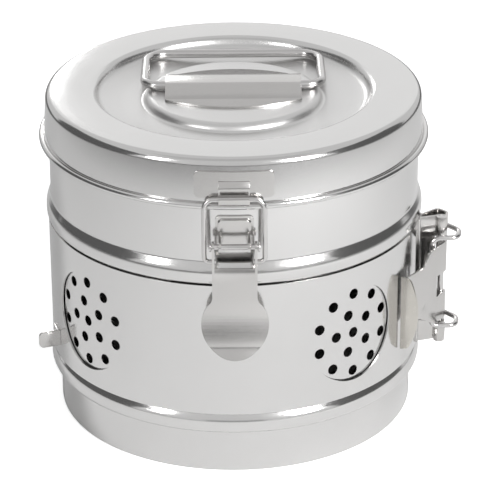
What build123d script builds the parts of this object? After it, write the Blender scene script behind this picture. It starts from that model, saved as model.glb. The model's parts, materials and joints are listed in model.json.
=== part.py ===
from build123d import *

import os
from math import asin, atan2, cos, degrees, hypot, radians, sin, sqrt, tan

# A round stainless steel dressing drum that goes into a steam sterilizer.
#
# Frame: the foot ring stands on z = 0 and the drum's axis is Z. Azimuth is measured from the front
# (-Y, where the latch is) towards +X (where the band clamp is), in degrees. Millimetres throughout.

# ---------------------------------------------------------------- sheet, wire and clearances
wall = 0.8  # spun sheet of the drum and of its bottom
lid_wall = 0.9  # drawn sheet of the lid
band_sheet = 0.8  # vent band
bracket_sheet = 1.0  # pressed brackets, keeper and catch
leaf_sheet = 1.2  # hinge leaves and the pull tab
lever_sheet = 0.9  # clamp lever
run_gap = 0.06  # radial room of every pin and wire in its knuckle
side_gap = 0.3  # room beside every knuckle, along its pin
seat_gap = 0.15  # room under and over the handle's hinge bar
butt_gap = 0.4  # between the two ends of a bent wire, where they meet inside a fitting
corner_flat_count = 1  # flats in each small rounded corner of a turned shell
bend_flat_count = 3  # flats in each quarter bend of a wire
punch_length = 20.0  # longer than any sheet it cuts

# ---------------------------------------------------------------- drum
foot_height = 19.2
foot_turn_in = 2.0  # width of the ring the drum stands on
wall_r = 80.4  # outside of the wall
foot_in = 2.0  # foot skirt's step in from the wall
bead_out = 1.9  # how far both beads stand out from the wall
bead_shoulder = 1.5  # height of the slopes beside a bead's crown
lower_crown = 7.0
seat_height = 60.4  # plain wall between the beads, where the band lies
upper_crown = 6.4
neck_height = 26.0  # plain wall above the upper bead
mouth_in = 1.2  # step in at the mouth, so that the lid's skirt swings clear
mouth_step = 2.0
mouth_height = 14.0
bead_corner = 2.4  # radius of a bead's crown edges towards the band
foot_shoulder = 1.2  # height of the slope from the foot to the lower bead
pan_flange = 11.0  # height of the bottom pan's turned-down rim
pan_drop = 0.6  # pan floor below the top of the foot skirt
pan_corner = 2.0

# ---------------------------------------------------------------- steam vents, in four round groups
vent_r = 1.8
vent_azimuth = 38.5  # of the first group; the others follow at quarter turns
vent_groups = 4
vent_rise = 29.3  # group centre above the band's seat
inner_ring_r = 9.0
inner_ring_count = 5
outer_ring_r = 18.1
outer_ring_count = 10

# ---------------------------------------------------------------- vent band
band_fit = 0.4  # room between the wall and the band
band_end_gap = 0.15  # room between the band's edges and the beads
window_r = 22.0
band_near_end = 84.5  # azimuth of the end that carries the clamp
tab_azimuth = -70.0
tab_out = 9.6
tab_height = 7.4
tab_foot_length = 8.0
tab_corner = 2.0
tab_rise = 6.2  # tab's lower edge above the band's seat

# ---------------------------------------------------------------- lid
rim_roll = 1.4  # radius of the rolled rim
rim_flat_count = 8
lid_height = 21.3  # from the bottom of the rolled rim to the top
lid_room = 2.3  # from the drum's mouth to the inside of the skirt at the rim
lid_draft = 1.3  # skirt's lean inwards over its height
lid_edge = 3.5  # radius of the top edge
edge_flat_count = 2
lid_ledge = 20.4  # level top outside the dish, from the wall's radius
dish_depth = 4.1
dish_slope = 1.8  # how far the dish's wall leans in
dish_ring = 21.0  # dish floor's width, out to its wall
disc_slope = 1.4
disc_rise = 3.3
dish_fall = 1.9  # dish floor's fall towards the disc

# ---------------------------------------------------------------- lid handle and its retainer
handle_wire = 1.9  # radius
handle_beside = 1.3  # from the raised centre disc to the middle of the handle's sides
handle_corner_room = 1.16  # from the handle's far corners to the dish's wall
handle_y = 2.3  # hinge bar, a little behind the middle
handle_fall = 1.71  # of the folded handle, to its far bar
handle_corner = 10.0
handle_root_corner = 7.0
retainer_sheet = 0.9
retainer_end = 7.9  # from the retainer's ends to the edge of the centre disc
channel_top_half = 3.6
channel_foot_half = 13.3
retainer_apex = 22.0  # of the two curved flanges, from the hinge bar

# ---------------------------------------------------------------- rear hinge
hinge_out = 7.6  # from the wall to the rear pin
hinge_over_rim = 2.0  # pin's height over the bottom of the lid's rim
hinge_pin_r = 1.5
hinge_barrel = 1.0  # wall of every hinge knuckle
hinge_inner_knuckle = 5.7  # half length of the lid's knuckle
hinge_outer_knuckle = 10.0  # length of each of the drum's knuckles
hinge_head = 1.0
head_ratio = 1.4  # head to pin, in diameter
drum_leaf_height = 18.5
drum_leaf_rise = 2.2  # above the upper bead
drum_strap_root = 4.8  # below the top of the drum's leaf
lid_leaf_width = 26.0
lid_leaf_drop = 0.6  # below the keeper's lower edge
lid_strap_root = 2.2  # above the lid leaf's lower edge

# ---------------------------------------------------------------- front latch
keeper_half_width = 16.4
keeper_height = 11.3
keeper_over_rim = 4.9  # above the bottom of the lid's rim
hook_width = 12.8
hook_inner = 1.7  # radius of the hook's trough, with room for the bail to swing out as it rises
hook_sheet = 0.9
hook_lip = 3.5  # height of the hook's lip over the bottom of the trough's outside
hook_rim_gap = 0.3  # under the hook, to the rolled rim
hook_root = 7.0  # above the keeper's lower edge
hook_shoulder = 2.2  # from the root down to the hook's straight back
trough_round = 0.95  # of the sheet's outside bend, so that a hair of flat stays under the bar
bail_wire = 1.0  # radius
bail_back_gap = 0.1  # between the bail's bar and the back of the hook
bail_seat_gap = 0.05  # between the bail's bar and the bottom of the hook
bail_half_width = 12.4
bail_end = 7.6
bail_top_corner = 4.0
bail_end_corner = 2.2
base_width = 15.8
base_height = 15.0
base_corner = 2.0
base_rise = 7.2  # above the upper bead
bulge_rise = 7.4  # of the pressed bulge, above the base's lower edge
bulge_slope = 0.6
base_ear_inner = 5.5  # half the room between the base's ears
ear_round = 2.6
pivot_out = 7.8  # from the wall to the lever's pivot
pivot_rise = 11.6  # above the upper bead
pin_r = 1.2
lever_ear_inner = 8.3
lever_ear_round = 2.4
bail_pivot_out = 6.2  # from the wall
bail_pivot_rise = 4.3  # above the upper bead
bail_ear_round = 2.2
paddle_r = 14.0
paddle_fall = 35.4  # paddle's centre below the lever's pivot
arm_width = 18.6
arm_blend = 4.0  # radius between the arm and the paddle
lever_lead = 0.8  # web in front of the pivot
web_lean = 1.0  # web's lean outwards, down to the paddle
paddle_lean = 2.4  # the same at the foot of the paddle
lip_lean = 5.0  # and at its lip
web_foot = 13.0  # above the paddle's centre
lip_root = 10.1  # below the paddle's centre
web_bend = 20.0
lip_bend = 4.0
flange_foot = 6.0  # below the web's top, where its flanges run out
rivet_head = 0.8
rivet_ratio = 1.6

# ---------------------------------------------------------------- band clamp
clamp_azimuth = 81.8
clamp_pin_out = 10.0  # from the band to the clamp pin
clamp_pin_r = 1.34
knuckle_wall = 1.0
clamp_foot = 8.3  # width of the plate that is welded to the band's near end
clamp_foot_inset = 0.2  # degrees
plate_corner = 1.0
upper_knuckle = 9.8
lower_knuckle = 10.3
near_strap_root = 2.4  # to the side of the pin
far_strap_height = 6.1
far_strap_root = (0.4, 1.6)  # out from the band, and to the side
far_strap_elbow = (2.6, 9.3)  # short of the pin, and to the side
far_strap_shoulder = 5.5
far_strap_bend = 2.5
lever_knuckle_gap = 1.4  # above and below the lever's barrel
leaf_length = 32.8  # from the pin to the thumb plate
leaf_angle = -116.4  # degrees from the outward direction
leaf_overrun = 4.0  # of the outline, past the pin and past the thumb plate, where it is cut off
low_shoulder = 8.5  # reach of the full height along the lower edge
low_waist = (21.5, 8.1)  # reach, and rise over the lower edge
low_tip = 8.6
high_shoulder = (12.4, 0.6)  # reach, and fall under the upper edge
high_waist = (18.6, 6.0)
high_tip = 4.7
low_bend = 5.0
high_bend = 3.0
notch = (7.0, 10.0)  # reach and height of the opening in the barrel
notch_drop = 1.0
thumb_out = 8.9  # from the band to the thumb plate's front
thumb_clear = 0.8
thumb_drop = 2.0  # below the lever's lower edge
thumb_top_drop = 4.8  # below the lever's upper edge
thumb_round = (4.0, 4.6)  # how far the curved front falls back, at the top and at the bottom
thumb_chin = 0.8
thumb_corner = 2.4
sleeve_wall = 0.75
sleeve_length = 6.0
sleeve_reach = 7.0  # from the pin to the sleeves, along the lever
sleeve_inset = 4.5  # from the ends of the lever's barrel
link_wire = 1.1  # radius
link_nose = 7.45  # how far the link's nose stands out from the pin
link_nose_half = 3.85
link_leg = (-4.6, 14.0)  # far leg, from the pin
link_root_corner = 3.6  # at the leg that turns in the sleeves
link_corner = 4.5
link_near_bend = 3.6
link_far_bend = 5.0
link_under = 2.3  # link's lower arm below the lever
link_over = 3.2  # and its upper arm above it
catch_side = 11.3  # catch flange, to the side of the pin
catch_out = 6.3  # catch flange's height from the band
catch_foot_width = 9.0
catch_rise = 5.0  # above the lever's lower edge
catch_fall = 4.0  # below its upper edge

# ---------------------------------------------------------------- levels and radii that follow
foot_r = wall_r - foot_in
bead_r = wall_r + bead_out
lower_bead = foot_height + foot_shoulder
seat_low = lower_bead + lower_crown + bead_shoulder
seat_high = seat_low + seat_height
upper_bead = seat_high + bead_shoulder
neck_low = upper_bead + upper_crown + bead_shoulder
neck_high = neck_low + neck_height
mouth_r = wall_r - mouth_in
mouth_high = neck_high + mouth_step + mouth_height
band_in_r = wall_r + band_fit
band_r = band_in_r + band_sheet
band_low = seat_low + band_end_gap
band_high = seat_high - band_end_gap
rim_z = neck_high + rim_roll
skirt_low_r = mouth_r + lid_room + lid_wall
rim_r = skirt_low_r + rim_roll / 2
lid_top = neck_high + lid_height
dish_r = wall_r - lid_ledge
dish_floor_r = dish_r - dish_slope
dish_floor = lid_top - dish_depth
disc_r = dish_floor_r - dish_ring
disc_foot_r = disc_r + disc_slope
disc_foot = dish_floor - dish_fall
disc_top = disc_foot + disc_rise
bar_z = disc_top + seat_gap + handle_wire
handle_half_width = disc_r + handle_beside
handle_corner_spot = dish_floor_r - handle_corner_room - handle_wire - handle_corner  # from the axis
handle_reach = sqrt(handle_corner_spot**2 - (handle_half_width - handle_corner) ** 2) + handle_corner - handle_y
retainer_half_length = disc_r - retainer_end
channel_rise = 2 * handle_wire + 2 * seat_gap + retainer_sheet
hinge_y = wall_r + hinge_out
hinge_z = neck_high + hinge_over_rim
hinge_knuckle_r = hinge_pin_r + run_gap + hinge_barrel
keeper_low = neck_high + keeper_over_rim
hook_back = skirt_low_r + bracket_sheet
hook_front = hook_back + 2 * (hook_inner + hook_sheet)
hook_low = rim_z + rim_roll + hook_rim_gap
bail_top_y = -(hook_back + hook_sheet + bail_back_gap + bail_wire)
bail_play = hook_inner - bail_wire
bail_drop = sqrt(bail_play**2 - (bail_play - bail_back_gap) ** 2)  # bar's middle below the trough's
bail_top_z = hook_low + hook_sheet + hook_inner - bail_drop + bail_seat_gap
pivot_y = -(wall_r + pivot_out)
pivot_z = neck_low + pivot_rise
bail_pivot_y = -(wall_r + bail_pivot_out)
bail_pivot_z = neck_low + bail_pivot_rise
paddle_z = pivot_z - paddle_fall
clamp_u = band_r + clamp_pin_out
knuckle_r = clamp_pin_r + run_gap + knuckle_wall
lever_low = band_low + lower_knuckle + lever_knuckle_gap
lever_high = band_high - upper_knuckle - lever_knuckle_gap
link_low = lever_low - link_under
link_high = lever_high + link_over
band_far_end = clamp_azimuth + degrees(asin(catch_side / band_r))
section = Plane.XZ  # (radius, height) of everything that is turned


def outward(azimuth):
    """Unit vector that points straight out of the drum."""
    return Vector(sin(radians(azimuth)), -cos(radians(azimuth)), 0)


def along(azimuth):
    """Unit vector along the drum's wall, towards growing azimuth."""
    return Vector(cos(radians(azimuth)), sin(radians(azimuth)), 0)


def facing(azimuth, radius=0.0, height=0.0):
    """Plane square to the outward direction: (along, height)."""
    origin = outward(azimuth) * radius + Vector(0, 0, height)
    return Plane(origin=origin, x_dir=along(azimuth), z_dir=outward(azimuth))


def standing(azimuth):
    """Upright plane through the drum's axis: (radius, height). Its normal looks back along the wall."""
    return Plane(origin=(0, 0, 0), x_dir=outward(azimuth), z_dir=-along(azimuth))


def lying(azimuth, height=0.0):
    """Level plane: (outward, along)."""
    return Plane(origin=(0, 0, height), x_dir=outward(azimuth), z_dir=(0, 0, 1))


def skirt_r(height):
    """Outside radius of the lid's skirt at a height."""
    return skirt_low_r - lid_draft * (height - rim_z) / (lid_top - rim_z)


def rounded(points, radii, flats=corner_flat_count):
    """Corners of a line in a plane or in space, where a radius is drawn as that many flats."""
    line = [points[0]]
    for before, corner, after, radius in zip(points, points[1:], points[2:], radii):
        if not radius:
            line.append(corner)
            continue
        back = (Vector(*before) - Vector(*corner)).normalized()
        onward = (Vector(*after) - Vector(*corner)).normalized()
        turn = radians(180 - back.get_angle(onward))
        middle = Vector(*corner) + (back + onward).normalized() * (radius / cos(turn / 2))
        first = Vector(*corner) + back * (radius * tan(turn / 2)) - middle
        last = Vector(*corner) + onward * (radius * tan(turn / 2)) - middle
        for i in range(flats + 1):
            angle = turn * i / flats
            line.append(tuple(middle + (first * sin(turn - angle) + last * sin(angle)) * (1 / sin(turn))))
    return [*line, points[-1]]


def wrapped_plate(inner_r, sheet, azimuth, width, low, high, corner):
    """Round-cornered plate bent to lie on a cylinder."""
    with BuildPart() as plate:
        with BuildSketch(Plane.XY.offset(low)):
            Circle(inner_r + sheet)
            Circle(inner_r, mode=Mode.SUBTRACT)
        extrude(amount=high - low)
        with BuildSketch(facing(azimuth)):
            with Locations((0, (low + high) / 2)):
                RectangleRounded(width, high - low, corner)
        extrude(amount=inner_r + 2 * sheet, mode=Mode.INTERSECT)
    return plate.part


def skirt_plate(azimuth, width, low, high, corner):
    """Round-cornered plate that lies on the lid's leaning skirt."""
    with BuildPart() as plate:
        with BuildSketch(section):
            with BuildLine():
                Polyline(
                    (skirt_r(low), low),
                    (skirt_r(low) + bracket_sheet, low),
                    (skirt_r(high) + bracket_sheet, high),
                    (skirt_r(high), high),
                    close=True,
                )
            make_face()
        revolve(axis=Axis.Z)
        with BuildSketch(facing(azimuth)):
            with Locations((0, (low + high) / 2)):
                RectangleRounded(width, high - low, corner)
        extrude(amount=skirt_low_r + 2 * bracket_sheet, mode=Mode.INTERSECT)
    return plate.part


def strap_to_knuckle(start, centre, radius, side):
    """Length, direction and middle of a strap that runs from a point to touch a knuckle."""
    away = Vector(*centre) - Vector(*start)
    turn = asin(radius / away.length)
    heading = atan2(away.Y, away.X) + side * turn
    length = away.length * cos(turn)
    middle = Vector(*start) + Vector(cos(heading), sin(heading)) * (length / 2)
    return length, degrees(heading), middle


# ================================================================ drum
with BuildPart() as drum_shell:
    with BuildSketch(section):
        with BuildLine():
            outline = [
                (foot_r - foot_turn_in, 0),
                (foot_r, 0),
                (foot_r, foot_height),
                (bead_r, lower_bead),
                (bead_r, lower_bead + lower_crown),
                (wall_r, seat_low),
                (wall_r, seat_high),
                (bead_r, upper_bead),
                (bead_r, upper_bead + upper_crown),
                (wall_r, neck_low),
                (wall_r, neck_high),
                (mouth_r, neck_high + mouth_step),
                (mouth_r, mouth_high),
            ]
            Polyline(*rounded(outline, [0, 0, 0, bead_corner, 0, 0, bead_corner, 0, 0, 0, 0]))
            offset(amount=wall, side=Side.LEFT, kind=Kind.INTERSECTION)
        make_face()
    revolve(axis=Axis.Z)
    vent_spots = [(0.0, 0.0)]
    for ring_r, count, start in (
        (inner_ring_r, inner_ring_count, 180),
        (outer_ring_r, outer_ring_count, 90),
    ):
        for i in range(count):
            angle = radians(start + 360 * i / count)
            vent_spots.append((ring_r * cos(angle), ring_r * sin(angle)))
    vent_planes = [
        facing(
            vent_azimuth + 360 * group / vent_groups + degrees(side / wall_r),
            wall_r - wall / 2,
            seat_low + vent_rise + rise,
        )
        for group in range(vent_groups)
        for side, rise in vent_spots
    ]
    with Locations(*vent_planes):
        Cylinder(vent_r, 4 * wall, mode=Mode.SUBTRACT)

pan_r = foot_r - wall
with BuildPart() as drum_bottom:
    with BuildSketch(section):
        with BuildLine():
            outline = [
                (pan_r, foot_height - pan_drop - pan_flange),
                (pan_r, foot_height - pan_drop),
                (0, foot_height - pan_drop),
            ]
            Polyline(*rounded(outline, [pan_corner]))
            offset(amount=wall, side=Side.LEFT, kind=Kind.INTERSECTION)
        make_face()
    revolve(axis=Axis.Z)

# ================================================================ front latch, fixed side
base_low = neck_low + base_rise
bulge_low = base_low + bulge_rise
with BuildPart() as latch_base:
    add(wrapped_plate(wall_r, bracket_sheet, 0, base_width, base_low, base_low + base_height, base_corner))
    # pressed bulge over the ears
    with BuildPart(mode=Mode.PRIVATE) as bulge:
        add(
            wrapped_plate(
                wall_r + bracket_sheet, bracket_sheet, 0, base_width - base_corner,
                bulge_low, base_low + base_height - base_corner / 2, base_corner,
            )
        )
        chamfer(bulge.faces().sort_by(Axis.Y)[0].edges(), bracket_sheet * bulge_slope)
    add(bulge.part)
    with BuildSketch(Plane.YZ.offset(base_ear_inner)):
        with Locations((pivot_y, pivot_z)):
            Circle(ear_round)
        with Locations((-(wall_r + bracket_sheet / 2), pivot_z)):
            Rectangle(bracket_sheet, 3 * ear_round)
        make_hull()
        with Locations((pivot_y, pivot_z)):
            Circle(pin_r, mode=Mode.SUBTRACT)
    extrude(amount=bracket_sheet)
    mirror(about=Plane.YZ)

lever_ear_outer = lever_ear_inner + bracket_sheet
with BuildPart() as latch_pin:
    with Locations((0, pivot_y, pivot_z)):
        Cylinder(pin_r, 2 * (lever_ear_outer + side_gap + rivet_head), rotation=(0, 90, 0))
    with Locations(*[(s * (lever_ear_outer + side_gap + rivet_head / 2), pivot_y, pivot_z) for s in (-1, 1)]):
        Cylinder(rivet_ratio * pin_r, rivet_head, rotation=(0, 90, 0))

# ================================================================ rear hinge
leaf_low = neck_low + drum_leaf_rise
with BuildPart() as hinge_drum_leaf:
    add(
        wrapped_plate(
            wall_r, leaf_sheet, 180, 2 * (hinge_inner_knuckle + side_gap + hinge_outer_knuckle),
            leaf_low, leaf_low + drum_leaf_height, base_corner,
        )
    )
    with BuildSketch(Plane.YZ.offset(hinge_inner_knuckle + side_gap)):
        length, heading, middle = strap_to_knuckle(
            (wall_r - leaf_sheet, leaf_low + drum_leaf_height - drum_strap_root),
            (hinge_y, hinge_z), hinge_knuckle_r - leaf_sheet / 2, -1,
        )
        with Locations(middle):
            Rectangle(length, leaf_sheet, rotation=heading)
        with Locations((hinge_y, hinge_z)):
            Circle(hinge_knuckle_r)
            Circle(hinge_pin_r, mode=Mode.SUBTRACT)
    extrude(amount=hinge_outer_knuckle)
    mirror(about=Plane.YZ)
    with BuildSketch(Plane.XY.offset(neck_low)):
        Circle(wall_r)
    extrude(amount=neck_height, mode=Mode.SUBTRACT)

hinge_half = hinge_inner_knuckle + side_gap + hinge_outer_knuckle
with BuildPart() as hinge_pin:
    with Locations((0, hinge_y, hinge_z)):
        Cylinder(hinge_pin_r, 2 * (hinge_half + hinge_head), rotation=(0, 90, 0))
    with Locations(*[(s * (hinge_half + hinge_head / 2), hinge_y, hinge_z) for s in (-1, 1)]):
        Cylinder(head_ratio * hinge_pin_r, hinge_head, rotation=(0, 90, 0))

lid_leaf_low = keeper_low - lid_leaf_drop
with BuildPart() as hinge_lid_leaf:
    add(skirt_plate(180, lid_leaf_width, lid_leaf_low, keeper_low + keeper_height, base_corner))
    strap_z = lid_leaf_low + lid_strap_root
    with BuildSketch(Plane.YZ):
        length, heading, middle = strap_to_knuckle(
            (skirt_r(strap_z) + bracket_sheet / 2, strap_z),
            (hinge_y, hinge_z), hinge_knuckle_r - bracket_sheet / 2, 1,
        )
        with Locations(middle):
            Rectangle(length, bracket_sheet, rotation=heading)
        with Locations((hinge_y, hinge_z)):
            Circle(hinge_knuckle_r)
            Circle(hinge_pin_r + run_gap, mode=Mode.SUBTRACT)
    extrude(amount=hinge_inner_knuckle, both=True)

# ================================================================ lid
with BuildPart() as lid_shell:
    with BuildSketch(section):
        with BuildLine():
            outline = [
                (skirt_low_r, rim_z),
                (skirt_r(lid_top), lid_top),
                (dish_r, lid_top),
                (dish_floor_r, dish_floor),
                (disc_foot_r, disc_foot),
                (disc_r, disc_top),
                (0, disc_top),
            ]
            Polyline(*rounded(outline, [lid_edge, 0, 0, 0, 0], edge_flat_count))
            offset(amount=lid_wall, side=Side.LEFT, kind=Kind.INTERSECTION)
        make_face()
        with Locations((rim_r, rim_z)):
            RegularPolygon(rim_roll, rim_flat_count, major_radius=False)
    revolve(axis=Axis.Z)

# curved plate with the J hook that the bail pulls down
with BuildPart() as lid_keeper:
    add(skirt_plate(0, 2 * keeper_half_width, keeper_low, keeper_low + keeper_height, base_corner))
    root_z = keeper_low + hook_root
    trough_outer = hook_inner + trough_round * hook_sheet
    with BuildSketch(Plane.YZ):
        with BuildLine():
            FilletPolyline(
                (-(skirt_r(root_z) + bracket_sheet / 2), root_z),
                (-hook_back, root_z - hook_shoulder),
                (-hook_back, hook_low),
                (-hook_front, hook_low),
                (-hook_front, hook_low + hook_lip),
                radius=[hook_inner, trough_outer, trough_outer],
            )
            offset(amount=hook_sheet, side=Side.RIGHT)
        make_face()
    extrude(amount=hook_width / 2, both=True)

# pressed strap over the handle's hinge bar: a channel between two flanges with curved edges
with BuildPart() as handle_retainer:
    with BuildSketch(Plane.YZ):
        with BuildLine():
            Polyline(
                (handle_y - retainer_apex, disc_top + retainer_sheet),
                (handle_y - channel_foot_half, disc_top + retainer_sheet),
                (handle_y - channel_top_half, disc_top + channel_rise),
                (handle_y + channel_top_half, disc_top + channel_rise),
                (handle_y + channel_foot_half, disc_top + retainer_sheet),
                (handle_y + retainer_apex, disc_top + retainer_sheet),
            )
            offset(amount=retainer_sheet, side=Side.RIGHT, kind=Kind.INTERSECTION)
        make_face()
    extrude(amount=retainer_half_length, both=True)
    with BuildSketch(Plane.XY.offset(disc_top)):
        with BuildLine():
            for s in (-1, 1):
                ThreePointArc(
                    (-retainer_half_length, handle_y + s * channel_foot_half),
                    (0, handle_y + s * retainer_apex),
                    (retainer_half_length, handle_y + s * channel_foot_half),
                )
                Line(
                    (s * retainer_half_length, handle_y - channel_foot_half),
                    (s * retainer_half_length, handle_y + channel_foot_half),
                )
        make_face()
    extrude(amount=2 * channel_rise, mode=Mode.INTERSECT)

tilt = asin(handle_fall / handle_reach)
handle_plane = Plane(origin=(0, handle_y, bar_z), x_dir=(1, 0, 0), z_dir=(0, sin(tilt), cos(tilt)))
with BuildPart() as lid_handle:
    with BuildLine(handle_plane) as handle_path:
        bends = [
            (butt_gap / 2, 0),
            (handle_half_width, 0),
            (handle_half_width, handle_reach),
            (-handle_half_width, handle_reach),
            (-handle_half_width, 0),
            (-butt_gap / 2, 0),
        ]
        handle_bends = [handle_root_corner, handle_corner, handle_corner, handle_root_corner]
        Polyline(*rounded(bends, handle_bends, bend_flat_count))
    with BuildSketch(Plane(origin=handle_path.line @ 0, z_dir=handle_path.line % 0)):
        Circle(handle_wire)
    sweep(transition=Transition.RIGHT)

# ================================================================ front latch, moving side
lever_top = bail_pivot_z - bail_ear_round
lever_front = -(wall_r + pivot_out + lever_lead)
with BuildPart() as latch_lever:
    # side view of the web and the paddle, bent out at the lip
    with BuildSketch(Plane.YZ):
        with BuildLine():
            FilletPolyline(
                (lever_front, lever_top),
                (lever_front - web_lean, paddle_z + web_foot),
                (lever_front - paddle_lean, paddle_z - lip_root),
                (lever_front - lip_lean, paddle_z - paddle_r),
                radius=[web_bend, lip_bend],
            )
            offset(amount=bracket_sheet, side=Side.LEFT)
        make_face()
    extrude(amount=paddle_r, both=True)
    # front view
    with BuildSketch(Plane.XZ) as lever_outline:
        with Locations((0, (lever_top + paddle_z) / 2)):
            Rectangle(arm_width, lever_top - paddle_z + bracket_sheet)
        with Locations((0, paddle_z)):
            Circle(paddle_r)
        fillet(lever_outline.vertices().filter_by_position(Axis.Y, paddle_z, lever_top - arm_blend), arm_blend)
    extrude(amount=-2 * pivot_y, mode=Mode.INTERSECT)
    # ears beside the base's ears, running out as flanges along the web
    with BuildSketch(Plane.YZ.offset(lever_ear_inner)):
        with Locations((pivot_y, pivot_z)):
            Circle(lever_ear_round)
        with Locations((bail_pivot_y, bail_pivot_z)):
            Circle(bail_ear_round)
        with Locations((lever_front + bracket_sheet / 2, lever_top - flange_foot)):
            Circle(bracket_sheet)
        make_hull()
        with Locations((pivot_y, pivot_z)):
            Circle(pin_r + run_gap, mode=Mode.SUBTRACT)
        with Locations((bail_pivot_y, bail_pivot_z)):
            Circle(bail_wire + run_gap, mode=Mode.SUBTRACT)
    extrude(amount=bracket_sheet)
    mirror(about=Plane.YZ)

bail_rise = hypot(bail_top_y - bail_pivot_y, bail_top_z - bail_pivot_z)
bail_up = Vector(0, bail_top_y - bail_pivot_y, bail_top_z - bail_pivot_z)
bail_plane = Plane(
    origin=(0, bail_pivot_y, bail_pivot_z), x_dir=(1, 0, 0), z_dir=Vector(1, 0, 0).cross(bail_up)
)
with BuildPart() as latch_bail:
    with BuildLine(bail_plane) as bail_path:
        bends = [
            (-bail_end, 0),
            (-bail_half_width, 0),
            (-bail_half_width, bail_rise),
            (bail_half_width, bail_rise),
            (bail_half_width, 0),
            (bail_end, 0),
        ]
        bail_bends = [bail_end_corner, bail_top_corner, bail_top_corner, bail_end_corner]
        Polyline(*rounded(bends, bail_bends, bend_flat_count))
    with BuildSketch(Plane(origin=bail_path.line @ 0, z_dir=bail_path.line % 0)):
        Circle(bail_wire)
    sweep(transition=Transition.RIGHT)

# ================================================================ vent band
with BuildPart() as vent_band:
    with BuildSketch(standing(band_far_end)):
        with Locations((band_in_r + band_sheet / 2, (band_low + band_high) / 2)):
            Rectangle(band_sheet, band_high - band_low)
    revolve(axis=Axis.Z, revolution_arc=360 - (band_far_end - band_near_end))
    with Locations(
        *[
            facing(vent_azimuth + 360 * group / vent_groups, band_r, seat_low + vent_rise)
            for group in range(vent_groups)
        ]
    ):
        Cylinder(window_r, punch_length, mode=Mode.SUBTRACT)

# bent sheet: a foot that lies on the band, and a flag that stands out
tab_low = seat_low + tab_rise
foot_angle = tab_foot_length / band_r
with BuildPart() as band_tab:
    with BuildSketch(lying(tab_azimuth, tab_low)):
        with BuildLine():
            ThreePointArc(
                (band_r * cos(foot_angle), -band_r * sin(foot_angle)),
                (band_r * cos(foot_angle / 2), -band_r * sin(foot_angle / 2)),
                (band_r, 0),
            )
            Line((band_r, 0), (band_r + tab_out, 0))
            offset(amount=leaf_sheet, side=Side.RIGHT, kind=Kind.INTERSECTION)
        make_face()
    extrude(amount=tab_height)
    with BuildSketch(standing(tab_azimuth)):
        with Locations((band_r - tab_corner, tab_low)):
            RectangleRounded(tab_out + tab_corner, tab_height, tab_corner, align=(Align.MIN, Align.MIN))
        with Locations((band_r - 2 * tab_corner, tab_low)):
            Rectangle(4 * tab_corner, tab_height, align=(Align.MIN, Align.MIN))
    extrude(amount=2 * tab_foot_length, mode=Mode.INTERSECT)

# ================================================================ band clamp
with BuildPart() as clamp_base:
    foot_azimuth = band_near_end - clamp_foot_inset - degrees((clamp_foot / 2) / band_r)
    add(wrapped_plate(band_r, bracket_sheet, foot_azimuth, clamp_foot, band_low, band_high, plate_corner))
    for low, high, far_low, far_high in (
        (band_high - upper_knuckle, band_high, band_high - far_strap_height, band_high),
        (band_low, band_low + lower_knuckle, band_low, band_low + far_strap_height),
    ):
        with BuildSketch(lying(clamp_azimuth, low)):
            length, heading, middle = strap_to_knuckle(
                (band_r + bracket_sheet / 2, -near_strap_root), (clamp_u, 0), knuckle_r - bracket_sheet / 2, 1
            )
            with Locations(middle):
                Rectangle(length, bracket_sheet, rotation=heading)
            with Locations((clamp_u, 0)):
                Circle(knuckle_r)
                Circle(clamp_pin_r, mode=Mode.SUBTRACT)
        extrude(amount=high - low)
        with BuildSketch(lying(clamp_azimuth, far_low)):
            with BuildLine():
                FilletPolyline(
                    (band_r + far_strap_root[0], far_strap_root[1]),
                    (clamp_u - far_strap_elbow[0], far_strap_elbow[1]),
                    (clamp_u + knuckle_r, far_strap_shoulder),
                    (clamp_u + knuckle_r, 0),
                    radius=far_strap_bend,
                )
                offset(amount=bracket_sheet, side=Side.RIGHT)
            make_face()
        extrude(amount=far_high - far_low)

with BuildPart() as clamp_pin:
    with BuildSketch(lying(clamp_azimuth, band_low)):
        with Locations((clamp_u, 0)):
            Circle(clamp_pin_r)
    extrude(amount=band_high - band_low)

catch_low = lever_low + catch_rise
catch_high = lever_high - catch_fall
catch_start = sqrt(band_r**2 - catch_side**2) + bracket_sheet / 2  # flange's root, inside its foot
with BuildPart() as clamp_catch:
    catch_azimuth = band_far_end + degrees((catch_foot_width / 2) / band_r)
    add(
        wrapped_plate(
            band_r, bracket_sheet, catch_azimuth, catch_foot_width, catch_low, catch_high, plate_corner
        )
    )
    with BuildSketch(lying(clamp_azimuth, catch_low)):
        with Locations((catch_start, catch_side)):
            Rectangle(band_r + catch_out - catch_start, bracket_sheet, align=(Align.MIN, Align.MIN))
    extrude(amount=catch_high - catch_low)

leaf_dir = Vector(cos(radians(leaf_angle)), sin(radians(leaf_angle)))
leaf_out = Vector(-leaf_dir.Y, leaf_dir.X)


def clamp_point(reach, out):
    """Point beside the clamp pin, in (outward, along): so far down the lever, and so far out of it."""
    return Vector(clamp_u, 0) + leaf_dir * reach + leaf_out * out


def clamp_world(local):
    """The same point or direction in the drum's own axes."""
    return outward(clamp_azimuth) * local.X + along(clamp_azimuth) * local.Y


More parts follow.
